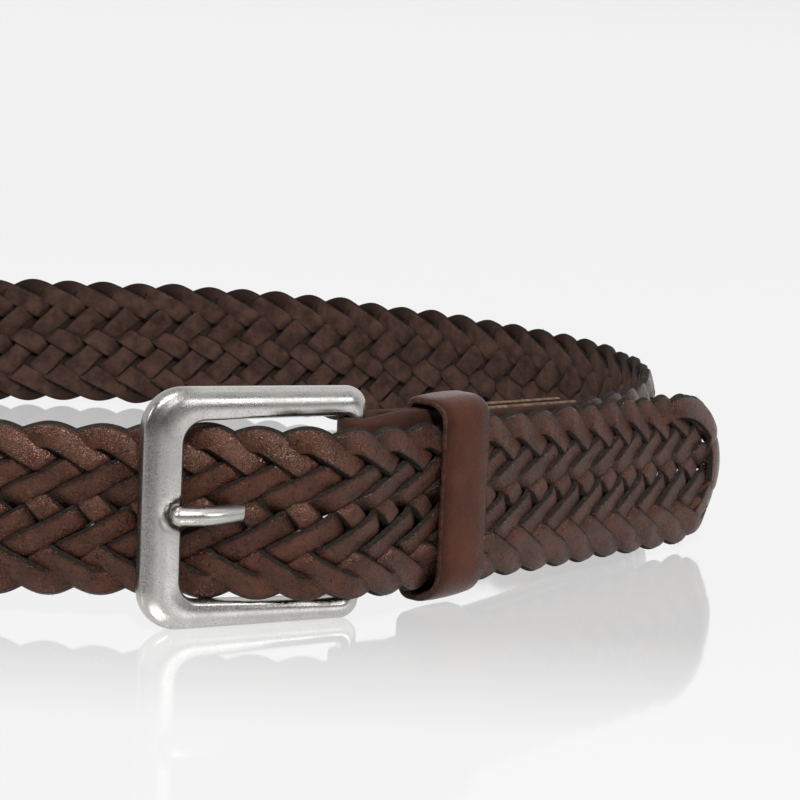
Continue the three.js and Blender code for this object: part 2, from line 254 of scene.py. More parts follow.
def smoothstep(x, low, high):
    t = np.clip((x - low) / (high - low), 0, 1)
    return t * t * (3 - 2 * t)


def laid(q):
    """Distance along the strap of a place counted in pitches of the plait."""
    return np.interp(q, PITCHES, LAID)


def unit(vector):
    return vector / np.linalg.norm(vector)


def distance_along(x, y):
    """Distance along a line of points, up to each of them."""
    return np.concatenate([[0], np.cumsum(np.hypot(np.diff(x), np.diff(y)))])


def filled(path, spacing, closed=False):
    """The path with even steps of about the spacing put in where its points are further apart."""
    rows = []
    for a, b in zip(path, np.roll(path, -1, axis=0) if closed else path[1:]):
        pieces = max(1, int(np.hypot(*(b[:2] - a[:2])) / spacing))
        rows += [a + (b - a) * k / pieces for k in range(pieces)]
    return np.array(rows if closed else [*rows, path[-1]])


def on_strap(s, w, h):
    """Places on the strap bent along its route."""
    x, y, heading, lift = route.at(s)
    out_x, out_y = np.sin(heading), -np.cos(heading)
    return np.stack([x + out_x * h, y + out_y * h, lift + STRAP_WIDTH / 2 + w], axis=-1)


def link(name, data):
    piece = bpy.data.objects.new(name, data)
    bpy.context.scene.collection.objects.link(piece)
    return piece


def skin(name, rings, materials, bands=None, around=None, along=None, closed=False, sharp=50):
    """A closed mesh through rings of points (rings, points, 3), in millimetres.

    bands gives each strip of faces along the rings its material; around and along are what its UVs
    say, in millimetres.
    """
    count, sides = rings.shape[:2]
    last = count if closed else count - 1
    r = np.arange(last)[:, None]
    k = np.arange(sides)[None, :]
    here, there = r * sides, ((r + 1) % count) * sides
    nxt = (k + 1) % sides
    quads = np.stack([here + k, here + nxt, there + nxt, there + k], axis=-1).reshape(-1, 4)
    faces = quads.tolist()
    if not closed:
        faces.append(list(range(sides))[::-1])
        faces.append(list(range((count - 1) * sides, count * sides)))
    mesh = bpy.data.meshes.new(name)
    mesh.from_pydata((rings.reshape(-1, 3) * MM).tolist(), [], faces)
    for material in materials:
        mesh.materials.append(material)
    if bands is not None:
        index = np.broadcast_to(bands, (last, sides)).reshape(-1)
        index = np.concatenate([index, [len(materials) - 1] * (len(faces) - len(index))])
        mesh.polygons.foreach_set("material_index", index.astype(np.int32))
    if around is not None:
        wide = np.append(around, around[0])
        u_here, u_there = along[r] + 0 * k, along[(r + 1) % count] + 0 * k
        u = np.stack([u_here, u_here, u_there, u_there], axis=-1)
        v = np.stack([wide[k] + 0 * r, wide[k + 1] + 0 * r], axis=-1)
        v = np.concatenate([v, v[..., ::-1]], axis=-1)
        uv = np.stack([u, v], axis=-1).reshape(-1, 2)
        layer = mesh.uv_layers.new(name="leather")
        full = np.zeros((len(mesh.loops), 2))
        full[: len(uv)] = uv
        layer.data.foreach_set("uv", full.reshape(-1))
    mesh.validate()
    work = bmesh.new()
    work.from_mesh(mesh)
    bmesh.ops.recalc_face_normals(work, faces=work.faces)
    work.to_mesh(mesh)
    work.free()
    mesh.polygons.foreach_set("use_smooth", [True] * len(mesh.polygons))
    mesh.set_sharp_from_angle(angle=math.radians(sharp))
    mesh.update()
    return link(name, mesh)


def mark(piece, name, values):
    """Gives each point of a piece a number for its material to read."""
    layer = piece.data.attributes.new(name, "FLOAT", "POINT")
    layer.data.foreach_set("value", values.astype(np.float32).reshape(-1))


# Materials


class Nodes:
    """Adds nodes to a tree. Each method but `node` and `put` returns its node's output."""

    def __init__(self, tree):
        self.tree = tree

    def node(self, kind, inputs=None, **settings):
        made = self.tree.nodes.new(kind)
        for key, value in settings.items():
            setattr(made, key, value)
        for key, value in (inputs or {}).items():
            self.put(made.inputs[key], value)
        return made

    def put(self, socket, value):
        if isinstance(value, bpy.types.NodeSocket):
            self.tree.links.new(value, socket)
        else:
            socket.default_value = value

    def position(self, scale=(1, 1, 1)):
        place = self.node("ShaderNodeTexCoord").outputs["Object"]
        return self.node("ShaderNodeMapping", {"Vector": place, "Scale": scale}).outputs[0]

    def uv(self, scale=(1, 1, 1)):
        place = self.node("ShaderNodeUVMap", uv_map="leather").outputs[0]
        return self.node("ShaderNodeMapping", {"Vector": place, "Scale": scale}).outputs[0]

    def marked(self, name):
        return self.node("ShaderNodeAttribute", attribute_name=name).outputs["Fac"]

    def noise(self, vector, scale, detail=2.0, roughness=0.5, distortion=0.0):
        inputs = {"Vector": vector, "Scale": scale, "Detail": detail}
        inputs |= {"Roughness": roughness, "Distortion": distortion}
        return self.node("ShaderNodeTexNoise", inputs).outputs[0]

    def cells(self, vector, scale):
        inputs = {"Vector": vector, "Scale": scale}
        return self.node("ShaderNodeTexVoronoi", inputs).outputs["Distance"]

    def remap(self, value, low, high, to_low=0.0, to_high=1.0, **settings):
        inputs = {0: value, 1: low, 2: high, 3: to_low, 4: to_high}
        return self.node("ShaderNodeMapRange", inputs, **settings).outputs[0]

    def math(self, operation, a, b=0.0):
        return self.node("ShaderNodeMath", {0: a, 1: b}, operation=operation).outputs[0]

    def mix(self, factor, a, b):
        made = self.node("ShaderNodeMix", {"Factor": factor}, data_type="RGBA")
        self.put(made.inputs[6], (*a, 1) if isinstance(a, tuple) else a)
        self.put(made.inputs[7], (*b, 1) if isinstance(b, tuple) else b)
        return made.outputs[2]

    def bump(self, height, strength, distance):
        inputs = {"Height": height, "Strength": strength, "Distance": distance}
        return self.node("ShaderNodeBump", inputs).outputs[0]


class Shader(Nodes):
    """A node material."""

    def __init__(self, name):
        self.material = bpy.data.materials.new(name)
        self.material.use_nodes = True
        super().__init__(self.material.node_tree)
        self.surface = self.tree.nodes["Principled BSDF"]

    def finish(self, **inputs):
        for key, value in inputs.items():
            if isinstance(value, tuple):
                value = (*value, 1)
            self.put(self.surface.inputs[key.replace("_", " ")], value)
        return self.material


WARM_SHEEN = (1.0, 0.68, 0.53)


def dimmed(colour, share):
    return tuple(share * channel for channel in colour)


def face_leather(name, dark, light, rub, gloss):
    """Grained, dyed and waxed leather, creased across the strand, with painted shade where the
    strand runs under others.
    """
    shader = Shader(name)
    place = shader.position()
    patches = shader.remap(shader.noise(place, 160, 4, 0.6), 0.35, 0.68)
    tone = shader.mix(patches, dark, light)
    speckle = shader.remap(shader.noise(place, 2600, 3, 0.7), 0.54, 0.74)
    tone = shader.mix(shader.math("MULTIPLY", speckle, 0.55), tone, rub)
    pores = shader.remap(shader.cells(place, 2300), 0.0, 0.55)
    deep = shader.remap(shader.noise(place, 900, 2, 0.5), 0.25, 0.45)
    tone = shader.mix(deep, dimmed(dark, 0.45), tone)
    # Painted shade: the face is darkened where the strand runs under others inside the plait
    painted_plait_shade = shader.remap(shader.marked("raised"), -0.5, 0.6)
    tone = shader.mix(painted_plait_shade, dimmed(dark, 0.25), tone)
    creases = shader.noise(shader.uv((1.6, 0.32, 1)), 1.4, 4, 0.65, 0.6)
    height = shader.math("ADD", shader.math("MULTIPLY", pores, 0.5), creases)
    height = shader.math("ADD", height, shader.math("MULTIPLY", speckle, 0.25))
    normal = shader.bump(height, 0.8, 0.00025)
    rubbed = shader.remap(shader.noise(place, 95, 2, 0.5), 0.6, 0.42, 0.0, 0.15)
    fine = shader.remap(shader.noise(place, 700, 3, 0.6), 0.3, 0.7, gloss - 0.08, gloss + 0.14)
    rough = shader.math("ADD", fine, rubbed)
    # Darker towards the face's cut edges: partly burnished edge, partly painted shade where the
    # domed face rolls away
    side = shader.node("ShaderNodeSeparateXYZ", {0: shader.uv()}).outputs[1]
    reach = shader.math("ABSOLUTE", side)
    wobble = shader.math("MULTIPLY", shader.noise(place, 420, 3, 0.6), 1.3)
    darker_edges = shader.remap(shader.math("ADD", reach, wobble), 2.2, 3.3)
    tone = shader.mix(darker_edges, tone, dimmed(dark, 0.3))
    return shader.finish(
        Base_Color=tone,
        Roughness=rough,
        Normal=normal,
        Specular_IOR_Level=0.36,
        Specular_Tint=WARM_SHEEN,
    )


def raw_edge(name, dark, light, fibre):
    """Cut edge of a strand: dyed fibres, matte, with paler threads running along it."""
    shader = Shader(name)
    place = shader.position()
    along = shader.uv((0.5, 5.0, 1))
    threads = shader.remap(shader.noise(along, 1.3, 5, 0.7, 0.4), 0.4, 0.72)
    tone = shader.mix(threads, dark, light)
    specks = shader.remap(shader.noise(place, 2400, 3, 0.7), 0.6, 0.72)
    tone = shader.mix(shader.math("MULTIPLY", specks, 0.5), tone, fibre)
    height = shader.math("ADD", threads, shader.noise(place, 3000, 3, 0.7))
    return shader.finish(
        Base_Color=tone,
        Roughness=0.75,
        Normal=shader.bump(height, 0.7, 0.00025),
        Specular_IOR_Level=0.12,
    )


def flesh(name, dark, light, plaited=False):
    """Rough side of the leather, matte and finely napped."""
    shader = Shader(name)
    place = shader.position()
    patches = shader.remap(shader.noise(place, 260, 4, 0.65), 0.35, 0.7)
    tone = shader.mix(patches, dark, light)
    if plaited:
        # Painted shade: the flesh side is darkened where the strand lies over others and faces into
        # the plait
        painted_plait_shade = shader.remap(shader.marked("raised"), 0.95, -0.35)
        tone = shader.mix(painted_plait_shade, dimmed(dark, 0.55), tone)
    nap = shader.noise(place, 3200, 4, 0.75)
    return shader.finish(
        Base_Color=tone,
        Roughness=0.82,
        Normal=shader.bump(nap, 0.6, 0.0002),
        Specular_IOR_Level=0.12,
    )


def antique_metal(name):
    """Tumbled nickel: satin, finely pitted, with polished patches, painted dark reflections and
    stray scratches.
    """
    shader = Shader(name)
    place = shader.position()
    cloud = shader.remap(shader.noise(place, 130, 5, 0.65), 0.35, 0.7)
    grit = shader.noise(place, 2600, 4, 0.75)
    dots = shader.remap(shader.cells(place, 900), 0.05, 0.2)
    tone = shader.mix(cloud, (0.5, 0.485, 0.465), (0.62, 0.605, 0.585))
    tone = shader.mix(shader.remap(grit, 0.3, 0.48), (0.36, 0.35, 0.33), tone)
    tone = shader.mix(dots, (0.36, 0.345, 0.325), tone)
    streaks = shader.noise(shader.position((420, 60, 420)), 1.5, 6, 0.75, 1.2)
    scratches = shader.remap(streaks, 0.62, 0.7)
    # Painted dark reflections: the metal is darkened where the frame marks them, broken up by its
    # grit
    broken = shader.remap(grit, 0.3, 0.6, 1.0, 0.45)
    speckled_dark_reflection = shader.math("MULTIPLY", shader.marked("painted_dark_reflection"), broken)
    tone = shader.mix(speckled_dark_reflection, tone, (0.17, 0.163, 0.155))
    rough = shader.remap(cloud, 0.0, 1.0, 0.32, 0.22)
    height = shader.math("ADD", grit, shader.math("MULTIPLY", dots, 0.6))
    height = shader.math("SUBTRACT", height, shader.math("MULTIPLY", scratches, 0.5))
    return shader.finish(
        Base_Color=tone,
        Metallic=1.0,
        Roughness=rough,
        Normal=shader.bump(height, 0.17, 0.00008),
    )


def plain_leather(name, dark, light, edge, gloss):
    """Smooth leather, darker along its edges, where v of its UVs is close to -1 and 1."""
    shader = Shader(name)
    place = shader.position()
    patches = shader.remap(shader.noise(place, 120, 4, 0.6), 0.35, 0.68)
    tone = shader.mix(patches, dark, light)
    across = shader.node("ShaderNodeSeparateXYZ", {0: shader.uv()}).outputs[1]
    reach = shader.math("ABSOLUTE", across)
    wobble = shader.math("MULTIPLY", shader.noise(place, 240, 3, 0.6), 0.5)
    darker_edges = shader.remap(shader.math("SUBTRACT", reach, wobble), 0.35, 0.9)
    tone = shader.mix(darker_edges, tone, edge)
    pores = shader.remap(shader.cells(place, 2600), 0.0, 0.5)
    fine = shader.noise(place, 1500, 4, 0.7)
    height = shader.math("ADD", shader.math("MULTIPLY", pores, 0.6), fine)
    return shader.finish(
        Base_Color=tone,
        Roughness=shader.remap(fine, 0.3, 0.7, gloss - 0.05, gloss + 0.1),
        Normal=shader.bump(height, 0.4, 0.0002),
        Specular_IOR_Level=0.16,
        Specular_Tint=WARM_SHEEN,
    )


braid_face = face_leather(
    "braid_face", (0.024, 0.0082, 0.0053), (0.06, 0.0215, 0.0138), (0.115, 0.052, 0.036), 0.13
)
braid_edge = raw_edge(
    "braid_edge", (0.004, 0.003, 0.0025), (0.042, 0.035, 0.029), (0.22, 0.17, 0.12)
)
braid_flesh = flesh("braid_flesh", (0.024, 0.0115, 0.0082), (0.062, 0.0325, 0.0238), plaited=True)
bare_flesh = flesh("bare_flesh", (0.023, 0.0105, 0.0072), (0.06, 0.031, 0.0225))
keeper_face = plain_leather(
    "keeper_face", (0.041, 0.0112, 0.0052), (0.058, 0.017, 0.0082), (0.018, 0.0075, 0.0055), 0.27
)
keeper_edge = raw_edge(
    "keeper_edge", (0.03, 0.013, 0.01), (0.075, 0.034, 0.026), (0.11, 0.06, 0.045)
)
tab_face = plain_leather(
    "tab_face", (0.038, 0.016, 0.0115), (0.062, 0.026, 0.018), (0.03, 0.014, 0.01), 0.45
)
tan_edge = raw_edge("tan_edge", (0.07, 0.042, 0.028), (0.22, 0.15, 0.1), (0.3, 0.22, 0.15))
fold_edge = raw_edge("fold_edge", (0.03, 0.014, 0.01), (0.07, 0.034, 0.025), (0.12, 0.07, 0.05))
metal = antique_metal("metal")

# Plait. A strand zigzags across the strap: u counts strand pitches along it, from one of its
# turns at the upper edge to the next. It falls until LOW_TURN and climbs over the rest.
STRANDS = 10
CLIMBING = 6
LOW_TURN = 4.03
# u, height of the strand's middle over the strap's
ZIGZAG = [(0.0, 15.5), (1.08, 8.9), (1.55, 4.6), (1.98, -0.2), (2.41, -5.0), (2.88, -9.4)]
ZIGZAG += [(LOW_TURN, -15.5), (5.27, -9.3), (6.66, -1.6), (7.18, 1.3), (8.57, 8.8), (10.0, 15.5)]
# u, width of the strand
WIDTHS = [(0, 5.6), (0.6, 6.0), (1.2, 6.0), (1.85, 5.3), (2.2, 5.3), (2.9, 6.0), (3.5, 6.0)]
WIDTHS += [(LOW_TURN, 5.7), (5.0, 5.5), (9.2, 5.5), (10, 5.6)]
# u, share of TILT by which the strand leans over to one side
TILTS = [(0, -0.3), (0.35, -1), (1.2, -1), (1.6, -0.4), (2.3, -0.4), (2.7, 0.5), (3.0, 0.95)]
TILTS += [(3.6, 0.95), (4.3, 0.2), (5.0, 0.4), (5.4, 0.75), (8.4, 0.75), (8.9, 0.2), (10, -0.3)]
TILT = 0.44
ZIGZAG_SMOOTHING = 0.2
WIDTH_SMOOTHING = 0.15
TILT_SMOOTHING = 0.12
# Crossings passed where a falling strand changes over, and by how much its level changes
CHANGES = [(2.5, -2), (4.5, 2), (5.5, -2), (7.5, 2)]
CHANGE_REACH = 0.27
LEVEL = 0.82
# Stretches of u round the turns over which a strand rolls over, and over which that counts
TOP_ROLL = (-0.9, 0.25)
TOP_TURN_REACH = (-1.3, 0.6)
LOW_ROLL = (3.78, 4.93)
LOW_TURN_REACH = (3.4, 5.3)
# Seeded drift: amount, and the distance over which it changes
SIDEWAYS_DRIFT = (0.14, 7)
WIDTH_DRIFT = (0.03, 9)
LEVEL_DRIFT = (0.07, 5)
LINE_SAMPLES = 24000
STEP = 0.75

# A strand's section
STRAND_THICKNESS = 2.1
CROWN = 0.3
UNDER_CROWN = 0.45
UNDER_DROP = 0.1
EDGE_DROP = 0.16
BEVEL = 0.17
UV_HALF_WIDTH = 2.8
UV_SHIFT = 37.0

# What presses the plait flatter, by a share of its thickness
LOOSE_THICKNESS = STRAP_THICKNESS + 1.2
KEEPER_PRESS = 0.2
KEEPER_RAMP = 9
BAR_PRESS = 0.18
BAR_REACH = 8
BAR_BEFORE_HOLE = 19
FREE_END_PRESS = 0.2
FREE_END_RAMP = (20, 36)
FREE_END_SPREAD = 0.12

# The prong pushes the plait out round its hole, and the keeper pushes its lower edge in
PRONG_HOLE = 72
PRONG_PUSH = 1.4
PUSH_BEFORE_HOLE = 0.9
PUSH_REACH = (3.6, 4.5)
KEEPER_PUSH = 1.3
KEEPER_PUSH_FROM = 9

# The tip, and how the strands end there
TIP_SHEAR = 5.0
TIP_SHEAR_FROM = 65
TIP_SHEAR_TO = 9
TIP_SQUARENESS = 2.5
NARROWED_UNTIL = 0.97
TUCKED_IN = 4.6
END_TAPER = 6.0
END_WIDTH = 0.12
END_LEVEL = 0.4

# Ends wrapped round the tip
WRAP_RINGS = 70
WRAP_INSET = 2.9
WRAP_WIDTH = 6.0
WRAP_TILT = 0.28
# How far outside the plait the wrapped ends count as lying, which sets their painted shade
WRAP_RAISED = 0.6
WRAP_TUCK_START = 1.6
WRAP_TUCK_END = 4.0
WRAP_SINK = 1.5
WRAP_DROP = 0.1

# Fibres on the cut edges
FIBRE_SHARE = 0.2
FIBRE_LENGTHS = (0.25, 0.95)
FIBRE_WIDTH = 0.11
FIBRE_ROOT = 0.1
FIBRE_SPREAD = 0.8
FIBRE_RISE = (-0.3, 0.4)
FIBRELESS_RINGS = 4


def periodic(table, u):
    at, value = np.array(table).T
    return np.interp(np.mod(u, STRANDS), at, value)


def smoothed(table, spread, samples=4000):
    """The table's curve over one period with its corners rounded, as a function of u."""
    u = np.arange(samples) * STRANDS / samples
    reach = np.minimum(u, STRANDS - u)
    kernel = np.exp(-0.5 * (reach / spread) ** 2)
    kernel /= kernel.sum()
    curve = np.fft.irfft(np.fft.rfft(periodic(table, u)) * np.fft.rfft(kernel), samples)

    def look_up(at):
        return np.interp(np.mod(at, STRANDS), np.append(u, STRANDS), np.append(curve, curve[0]))

    return look_up


middle_height = smoothed(ZIGZAG, ZIGZAG_SMOOTHING)
strand_width = smoothed(WIDTHS, WIDTH_SMOOTHING)
strand_tilt = smoothed(TILTS, TILT_SMOOTHING)

at_low_turn = [u for u, _ in ZIGZAG].index(LOW_TURN)
falling = np.array(ZIGZAG[: at_low_turn + 1])
rising = np.array(ZIGZAG[at_low_turn:])


def extended(w, at, value):
    """Linear look-up that runs straight on past both ends."""
    inner = np.interp(w, at, value)
    low_slope = (value[1] - value[0]) / (at[1] - at[0])
    high_slope = (value[-1] - value[-2]) / (at[-1] - at[-2])
    inner = np.where(w < at[0], value[0] + (w - at[0]) * low_slope, inner)
    return np.where(w > at[-1], value[-1] + (w - at[-1]) * high_slope, inner)


def crossings_passed(q, w, strand, falls):
    """How many strands this one has crossed, counted from the upper edge, at a place on it."""
    if falls:
        return CLIMBING - strand + q - extended(w, rising[:, 1], rising[:, 0] - LOW_TURN)
    return CLIMBING + strand - q + extended(w, falling[::-1, 1], falling[::-1, 0])


def over_under(n):
    """+1 where a falling strand is on the outside, -1 where it is on the inside."""
    level = np.ones_like(n)
    for at, change in CHANGES:
        level += change * smoothstep(n, at - CHANGE_REACH, at + CHANGE_REACH)
    return level


def strand_section():
    """Strip of leather, domed on top and cut a little aslant: across it, in half widths, and up."""
    high = 1.0 - BEVEL
    top = [-high, -0.94 * high, -0.62, -0.3, 0, 0.3, 0.62, 0.94 * high, high]
    under = [1.0, 0.9, 0.5, 0, -0.5, -0.9, -1.0]
    half = STRAND_THICKNESS / 2
    dome = [half - CROWN * (x / high) ** 2 for x in top]
    hollow = [-half + UNDER_CROWN * x**2 - UNDER_DROP for x in under]
    for edge in (0, -1):
        dome[edge] -= EDGE_DROP
        hollow[edge] += UNDER_DROP
    return np.array(top + under), np.array(dome + hollow)


section_across, section_up = strand_section()
# What the section's UVs say round it, which of the strand's three materials each of its sides has,
# and where its ridge and the upper and lower edge of each cut side are
SECTION_AROUND = np.append(section_across[:9] * UV_HALF_WIDTH, [3.6, 4.4, 5.7, 7.0, 8.3, 9.6, 10.4])
SECTION_BANDS = np.array([0, 0, 0, 0, 0, 0, 0, 0, 1, 1, 2, 2, 2, 2, 1, 1])
RIDGE = 4
UPPER_EDGES = {1: 8, -1: 0}
LOWER_EDGES = {1: 9, -1: 15}
rng = np.random.default_rng(7)


def wander(u, amount, scale, samples=400):
    """Slow seeded drift along a strand."""
    knots = rng.normal(0, amount, samples)
    return np.interp(np.mod(u / scale, samples - 1), np.arange(samples), knots)


def in_keeper(s):
    """1 inside the keeper, falling to 0 before and after it."""
    start = tail_foot + KEEPER_START
    end = start + KEEPER_WIDTH
    return smoothstep(s, start - KEEPER_RAMP, start) - smoothstep(s, end, end + KEEPER_RAMP)


def in_free_end(s):
    return smoothstep(s, *(tail_foot + at for at in FREE_END_RAMP))


def squeeze(s):
    """How much thinner the plait is pressed along the strap."""
    pressed = PRESSED_THICKNESS / LOOSE_THICKNESS
    sewn_end = TAB_LENGTH - SEWN_START
    sewn = pressed + (1 - pressed) * smoothstep(s, sewn_end, sewn_end + SWELL_RUN)
    bar = np.exp(-(((s - laid(PRONG_HOLE) + BAR_BEFORE_HOLE) / BAR_REACH) ** 2))
    loose = 1 - KEEPER_PRESS * in_keeper(s) - BAR_PRESS * bar - FREE_END_PRESS * in_free_end(s)
    return sewn * loose


def tip_lag(s, w):
    """How far the plait's upper edge has fallen behind its lower edge on the way to the tip."""
    grown = smoothstep(s, tail_foot + TIP_SHEAR_FROM, tip_end - TIP_SHEAR_TO)
    return TIP_SHEAR * grown * w / (STRAP_WIDTH / 2)


def narrowing(s):
    """How much the strap's width has come down at its rounded tip."""
    into = np.clip((s - tip_start) / TIP_LENGTH, 0, NARROWED_UNTIL)
    return (1 - into**TIP_SQUARENESS) ** (1 / TIP_SQUARENESS)


fibres = []


def fray(rings):
    """Picks places on a strand's cut edges where a fibre stands out."""
    count = int(len(rings) * FIBRE_SHARE)
    for at in rng.integers(FIBRELESS_RINGS, len(rings) - FIBRELESS_RINGS, count):
        side = rng.choice([-1, 1])
        upper = rings[at, UPPER_EDGES[side]]
        lower = rings[at, LOWER_EDGES[side]]
        out = unit(upper - rings[at, RIDGE])
        run = unit(rings[at + 1, RIDGE] - rings[at - 1, RIDGE])
        root = upper + (lower - upper) * rng.uniform(0, 1)
        lean = out + run * rng.normal(0, FIBRE_SPREAD)
        lean = lean + (upper - lower) * rng.uniform(*FIBRE_RISE)
        tip = root + unit(lean) * rng.uniform(*FIBRE_LENGTHS)
        fibres.append((root - FIBRE_ROOT * out, run, upper - lower, tip))


def build_fibres():
    points, faces = [], []
    for root, run, up, tip in fibres:
        k = len(points)
        points += [
            root - run * FIBRE_WIDTH / 2,
            root + run * FIBRE_WIDTH / 2,
            root + unit(up) * FIBRE_WIDTH,
            tip,
        ]
        faces += [(k, k + 2, k + 1), (k, k + 1, k + 3), (k + 1, k + 2, k + 3), (k + 2, k, k + 3)]
    mesh = bpy.data.meshes.new("edge_fibres")
    mesh.from_pydata((np.array(points) * MM).tolist(), [], faces)
    mesh.materials.append(bare_flesh)
    piece = link("edge_fibres", mesh)
    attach(piece, "root")


def spread(s, w, slope_s, slope_w, width):
    """Distances across a strand, and the flat places that they reach beside its line."""
    size = np.hypot(slope_s, slope_w)
    across = section_across * width[:, None] / 2
    place_s = s[:, None] - across * (slope_w / size)[:, None]
    place_w = w[:, None] + across * (slope_s / size)[:, None]
    return across, place_s, place_w


def strip(name, rings, along, raised):
    """A strand through its rings. raised says to its leather how far outside the plait it lies,
    from which the leather paints shade where the strand runs under others.
    """
    piece = skin(
        name,
        rings,
        [braid_face, braid_edge, braid_flesh],
        bands=SECTION_BANDS,
        around=SECTION_AROUND,
        along=along,
        sharp=40,
    )
    mark(piece, "raised", raised)
    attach(piece, "root")
    return piece


def ribbon(name, q, w, level, tilt, width, along):
    """A strand along a line laid out flat: q in pitches, w in millimetres."""
    s = laid(q)
    across, place_s, place_w = spread(s, w, np.gradient(s, along), np.gradient(w, along), width)
    raised = level(place_s, place_w)
    h = (raised + tilt[:, None] * across + section_up) * squeeze(s)[:, None]
    past_hole = (place_s - laid(PRONG_HOLE) + PUSH_BEFORE_HOLE) / PUSH_REACH[0]
    h = h + PRONG_PUSH * np.exp(-(past_hole**2) - (place_w / PUSH_REACH[1]) ** 2)
    low = smoothstep(-place_w, KEEPER_PUSH_FROM, STRAP_WIDTH / 2)
    h = h - KEEPER_PUSH * in_keeper(place_s) * low
    final_s = place_s - tip_lag(place_s, place_w)
    rings = on_strap(final_s, place_w * narrowing(final_s), h)
    fray(rings)
    return strip(name, rings, along, raised / LEVEL)


def between(u, reach):
    return ((u > reach[0]) & (u < reach[1]))[:, None]


def build_strand(k):
    q_fine = np.linspace(0, PITCHES[-1], LINE_SAMPLES)
    w_fine = middle_height(q_fine - k)
    inside = laid(q_fine) - tip_lag(laid(q_fine), w_fine) < tip_end - TUCKED_IN
    q_fine = q_fine[: np.argmin(inside)]
    w_fine = w_fine[: len(q_fine)]
    run = distance_along(laid(q_fine), w_fine)
    along = np.linspace(0, run[-1], int(run[-1] / STEP))
    q = np.interp(along, run, q_fine)
    u = q - k
    lap = np.floor(u / STRANDS)
    u_in = u - lap * STRANDS
    w = middle_height(u) + wander(along, *SIDEWAYS_DRIFT)
    ending = smoothstep(run[-1] - along, 0, END_TAPER)
    width = strand_width(u) * (1 + wander(along, *WIDTH_DRIFT))
    width = width * (END_WIDTH + (1 - END_WIDTH) * ending)
    width = width * (1 + FREE_END_SPREAD * in_free_end(laid(q)))
    drift = wander(along, *LEVEL_DRIFT)
    index = (k + lap * STRANDS)[:, None]
    top_u = np.mod(u_in + STRANDS / 2, STRANDS) - STRANDS / 2
    top_turn = (2 * smoothstep(top_u, *TOP_ROLL) - 1)[:, None]
    low_turn = (1 - 2 * smoothstep(u_in, *LOW_ROLL))[:, None]

    def level(place_s, place_w):
        place_q = np.interp(place_s, LAID, PITCHES)
        fall = over_under(crossings_passed(place_q, place_w, index, True))
        climb = -over_under(crossings_passed(place_q, place_w, index + LOW_TURN, False))
        height = np.where((u_in < LOW_TURN)[:, None], fall, climb)
        height = np.where(between(top_u, TOP_TURN_REACH), top_turn, height)
        height = np.where(between(u_in, LOW_TURN_REACH), low_turn, height)
        kept = END_LEVEL + (1 - END_LEVEL) * ending[:, None]
        return (LEVEL * height + drift[:, None]) * kept

    tilt = TILT * strand_tilt(u)
    return ribbon(f"strand_{k + 1:02d}", q, w, level, tilt, width, along + UV_SHIFT * k)


def wrapped_end(name, start, stop, rise):
    """A strand's end laid round the tip, between two angles in degrees, and tucked in."""
    share = np.linspace(0, 1, WRAP_RINGS)
    starting = smoothstep(share, 0.25, 0.0)
    ending = smoothstep(share, 0.7, 1.0)
    angle = np.radians(start + (stop - start) * share)
    reach = WRAP_INSET + WRAP_TUCK_END * ending + WRAP_TUCK_START * starting
    s = tip_start + (TIP_LENGTH - reach) * np.cos(angle)
    w = (STRAP_WIDTH / 2 - reach) * np.sin(angle)
    height = rise * (smoothstep(share, 0, 0.3) - WRAP_SINK * ending) - WRAP_DROP
    width = WRAP_WIDTH * (END_WIDTH + (1 - END_WIDTH) * np.sin(share * math.pi) ** 0.6)
    across, place_s, place_w = spread(s, w, np.gradient(s), np.gradient(w), width)
    h = height[:, None] - WRAP_TILT * across + section_up
    strip(name, on_strap(place_s, place_w, h), distance_along(s, w), WRAP_RAISED + 0 * h)


strands = [build_strand(k) for k in range(STRANDS)]
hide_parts("braided_strap")
build_fibres()
wrapped_end("end_strand_1", 128, -4, 1.5)
wrapped_end("end_strand_2", 44, -40, 0.9)
wrapped_end("end_strand_3", 0, -78, 0.5)

# Buckle
ARC_STEPS = 12
INNER_ROUNDING = 1.0
BACK_ROUNDING = 0.9
FRONT_CROWN = 0.26
BEVEL_SHARE = 0.36
NOTCH_FADE = (0.4, 0.5)
# Painted dark reflections on the frame: how far in they fade, and the strength, middle and reach of
# a dark band along an arm
DARK_REFLECTION_BAR_FADE = (7, 12)
DARK_REFLECTION_ARM_FADE = (6, 9)
DARK_REFLECTION_BEVEL_FADE = (0.2, 0.4)
TOP_DARK_BAND = (0.7, 0.36, 0.16)
FOOT_DARK_BAND = (0.8, 0.82, 0.17)
PRONG_RINGS = 90
PRONG_SIDES = 24
EYE_SIDES = 40


def streak(share, strength, middle, reach):
    return strength * np.exp(-(((share - middle) / reach) ** 2))


def bar_section(width, thickness):
    """Points round a bar: across from its outer side, and forward. Its outer side is bevelled."""
    half = thickness / 2
    bevel = BEVEL_SHARE * width
    points = [(0.0, -0.1 * half), (0.1, 0.22 * half), (0.32, 0.44 * half)]
    points += [(0.4 * bevel, 0.62 * half), (0.75 * bevel, 0.84 * half), (0.92 * bevel, 0.94 * half)]
    points += [(1.1 * bevel, half), (width * 0.6, half + FRONT_CROWN), (width * 0.75, half + 0.08)]
    rounded = [(90, INNER_ROUNDING, -1, 1), (0, BACK_ROUNDING, -1, -1), (-90, BACK_ROUNDING, 1, -1)]
    for start, radius, side_a, side_b in rounded:
        base_a = 0 if side_a > 0 else width
        centre = np.array([base_a + side_a * radius, side_b * (half - radius)])
        for n in range(5):
            points.append(tuple(centre + radius * direction(math.radians(start - 90 * n / 4))))
    return np.array(points)


